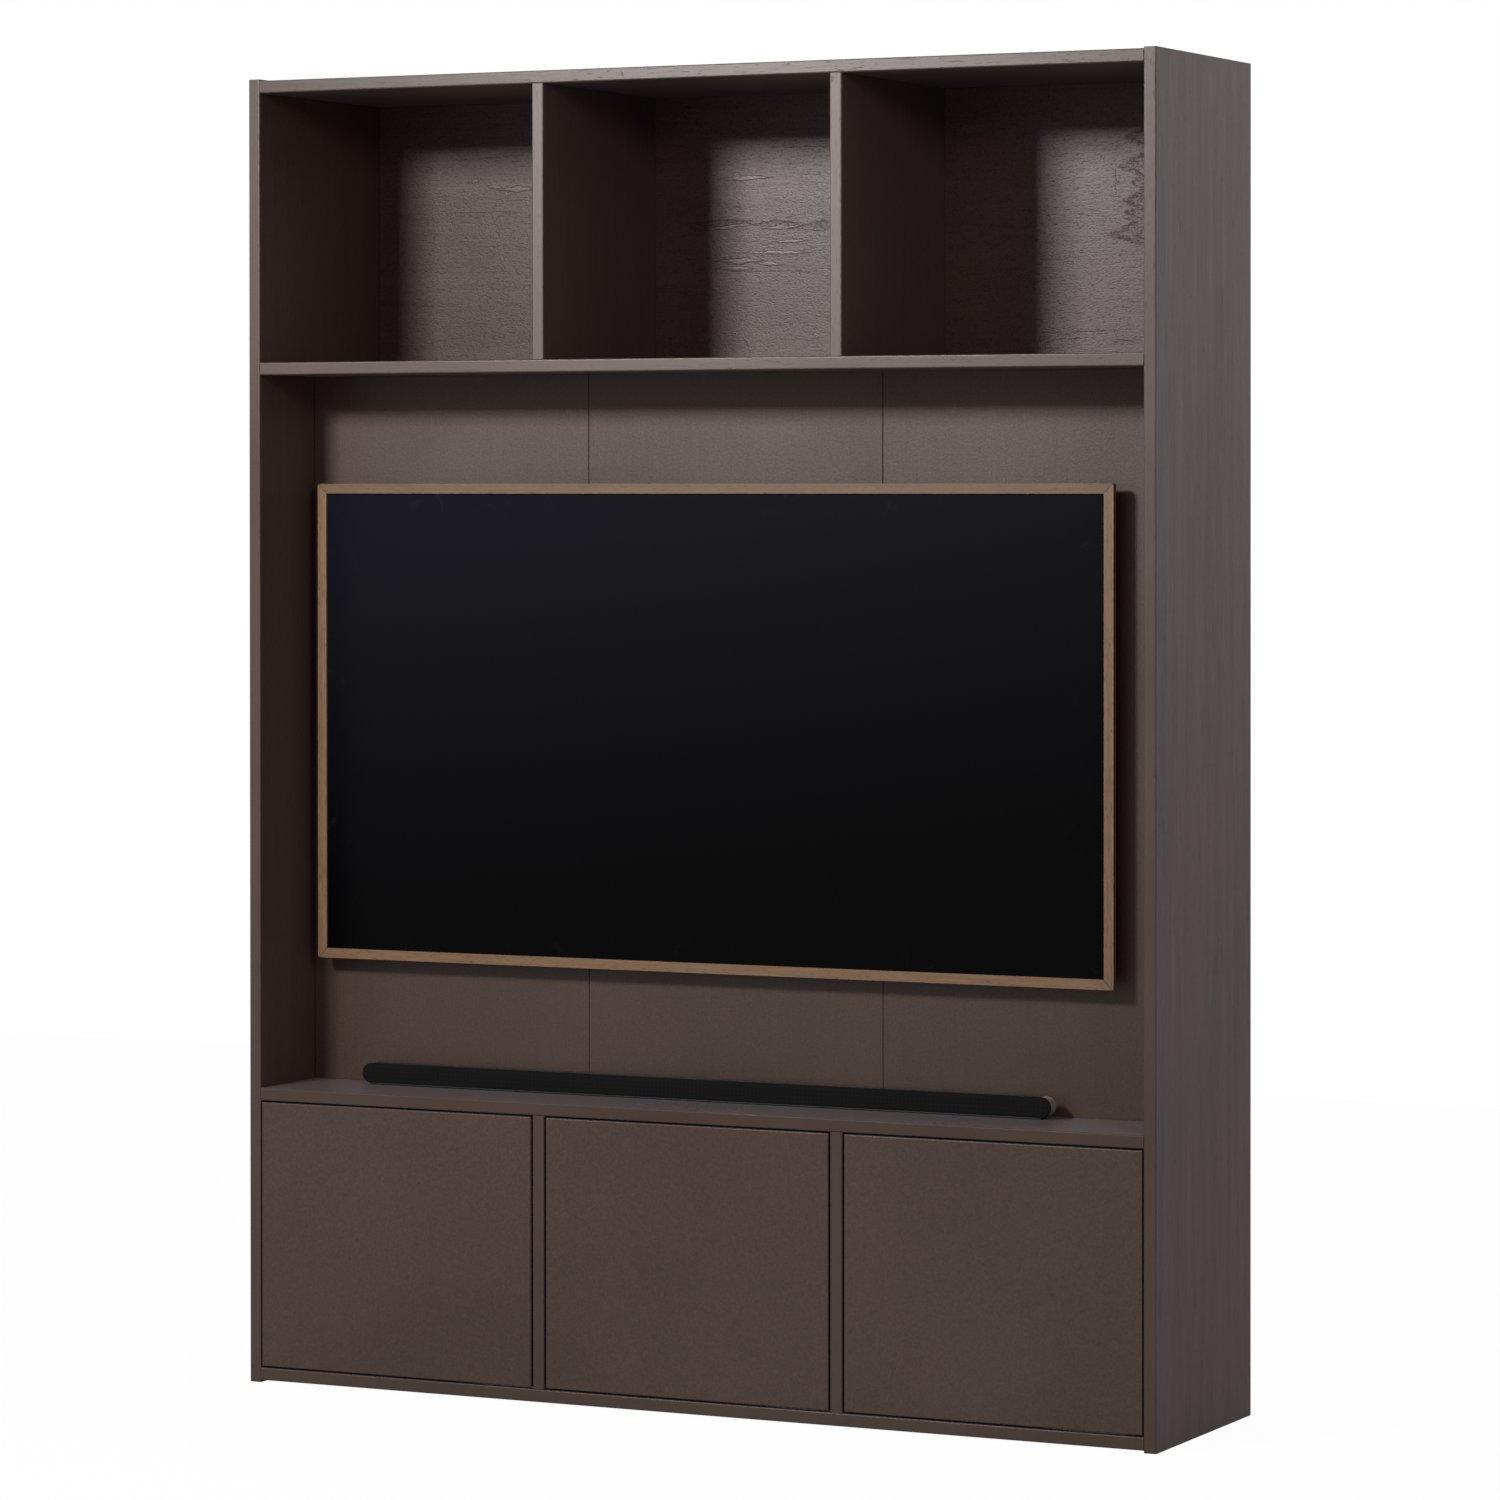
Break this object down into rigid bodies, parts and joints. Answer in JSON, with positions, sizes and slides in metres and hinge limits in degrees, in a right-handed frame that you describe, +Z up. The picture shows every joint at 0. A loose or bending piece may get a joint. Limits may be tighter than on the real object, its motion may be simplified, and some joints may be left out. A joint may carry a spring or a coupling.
{
  "type": "entertainment center",
  "caption": "Tall dark painted pine entertainment center with open compartments above, a framed television and soundbar in a shallow bay, and flush doors below.",
  "frame": {"origin": "on the floor, at the centre of the footprint", "axes": "+Z up, the front faces -Y, +X to the right as seen from the front"},
  "size_m": [1.4, 0.35, 1.87],
  "materials": {
    "painted_pine": "satin",
    "painted_back": "satin",
    "oak": "satin",
    "screen_glass": "gloss",
    "black_plastic": "matte",
    "steel": "satin",
    "dark_steel": "satin",
    "grey_plastic": "satin",
    "grille_fabric": "matte"
  },
  "bodies": {
    "carcass": {"side_panel_left": "painted_pine", "side_panel_right": "painted_pine", "bottom_panel": "painted_pine", "counter_shelf": "painted_pine", "upper_shelf": "painted_pine", "top_panel": "painted_pine", "upper_divider_left": "painted_pine", "upper_divider_right": "painted_pine", "lower_divider_left": "painted_pine", "lower_divider_right": "painted_pine", "media_back_left": "painted_pine", "media_back_centre": "painted_pine", "media_back_right": "painted_pine", "rear_post_left": "painted_pine", "rear_post_right": "painted_pine", "upper_back_panel": "painted_back", "lower_back_panel": "painted_back", "wall_bracket_left": "steel", "wall_bracket_right": "steel", "tv_wall_plate": "dark_steel", "hinge_arm_left_low": "steel", "hinge_arm_left_high": "steel", "latch_housing_left": "black_plastic", "hinge_arm_centre_low": "steel", "hinge_arm_centre_high": "steel", "latch_housing_centre": "black_plastic", "hinge_arm_right_low": "steel", "hinge_arm_right_high": "steel", "latch_housing_right": "black_plastic"},
    "door_left_body": {"door_left": "painted_pine", "hinge_cup_left_low": "steel", "hinge_cup_left_high": "steel", "latch_strike_left": "steel"},
    "door_centre_body": {"door_centre": "painted_pine", "hinge_cup_centre_low": "steel", "hinge_cup_centre_high": "steel", "latch_strike_centre": "steel"},
    "door_right_body": {"door_right": "painted_pine", "hinge_cup_right_low": "steel", "hinge_cup_right_high": "steel", "latch_strike_right": "steel"},
    "latch_left_body": {"latch_plunger_left": "grey_plastic"},
    "latch_centre_body": {"latch_plunger_centre": "grey_plastic"},
    "latch_right_body": {"latch_plunger_right": "grey_plastic"},
    "television": {"tv_frame_top": "oak", "tv_frame_bottom": "oak", "tv_frame_left": "oak", "tv_frame_right": "oak", "tv_screen": "screen_glass", "tv_cover": "black_plastic", "tv_socket_panel": "dark_steel", "tv_hook_rail_left": "dark_steel", "tv_hook_rail_right": "dark_steel"},
    "soundbar": {"soundbar_grille": "grille_fabric", "soundbar_housing": "grey_plastic", "soundbar_socket": "black_plastic", "soundbar_foot": "grey_plastic"}
  },
  "joints": [
    {"name": "door_left_hinge", "type": "hinge", "parent": "carcass", "child": "door_left_body", "pos_m": [-0.68, -0.175, 0.213], "axis": [0, 0, -1], "range_deg": [0, 110]},
    {"name": "door_centre_hinge", "type": "hinge", "parent": "carcass", "child": "door_centre_body", "pos_m": [-0.21833, -0.175, 0.213], "axis": [0, 0, -1], "range_deg": [0, 105]},
    {"name": "door_right_hinge", "type": "hinge", "parent": "carcass", "child": "door_right_body", "pos_m": [0.68, -0.175, 0.213], "axis": [0, 0, 1], "range_deg": [0, 110]},
    {"name": "latch_left_slide", "type": "slide", "parent": "carcass", "child": "latch_left_body", "axis": [0, -1, 0], "range_m": [0, 0.025]},
    {"name": "latch_centre_slide", "type": "slide", "parent": "carcass", "child": "latch_centre_body", "axis": [0, -1, 0], "range_m": [0, 0.025]},
    {"name": "latch_right_slide", "type": "slide", "parent": "carcass", "child": "latch_right_body", "axis": [0, -1, 0], "range_m": [0, 0.025]},
    {"name": "tv_lift", "type": "slide", "parent": "carcass", "child": "television", "axis": [0, 0, 1], "range_m": [0, 0.02]},
    {"name": "soundbar_lift", "type": "slide", "parent": "carcass", "child": "soundbar", "axis": [0, 0, 1], "range_m": [0, 0.1]}
  ],
  "couplings": [
    {"joint": "latch_left_slide", "follows": "door_left_hinge", "m_per_rad": 0.013},
    {"joint": "latch_centre_slide", "follows": "door_centre_hinge", "m_per_rad": 0.013},
    {"joint": "latch_right_slide", "follows": "door_right_hinge", "m_per_rad": 0.013}
  ]
}
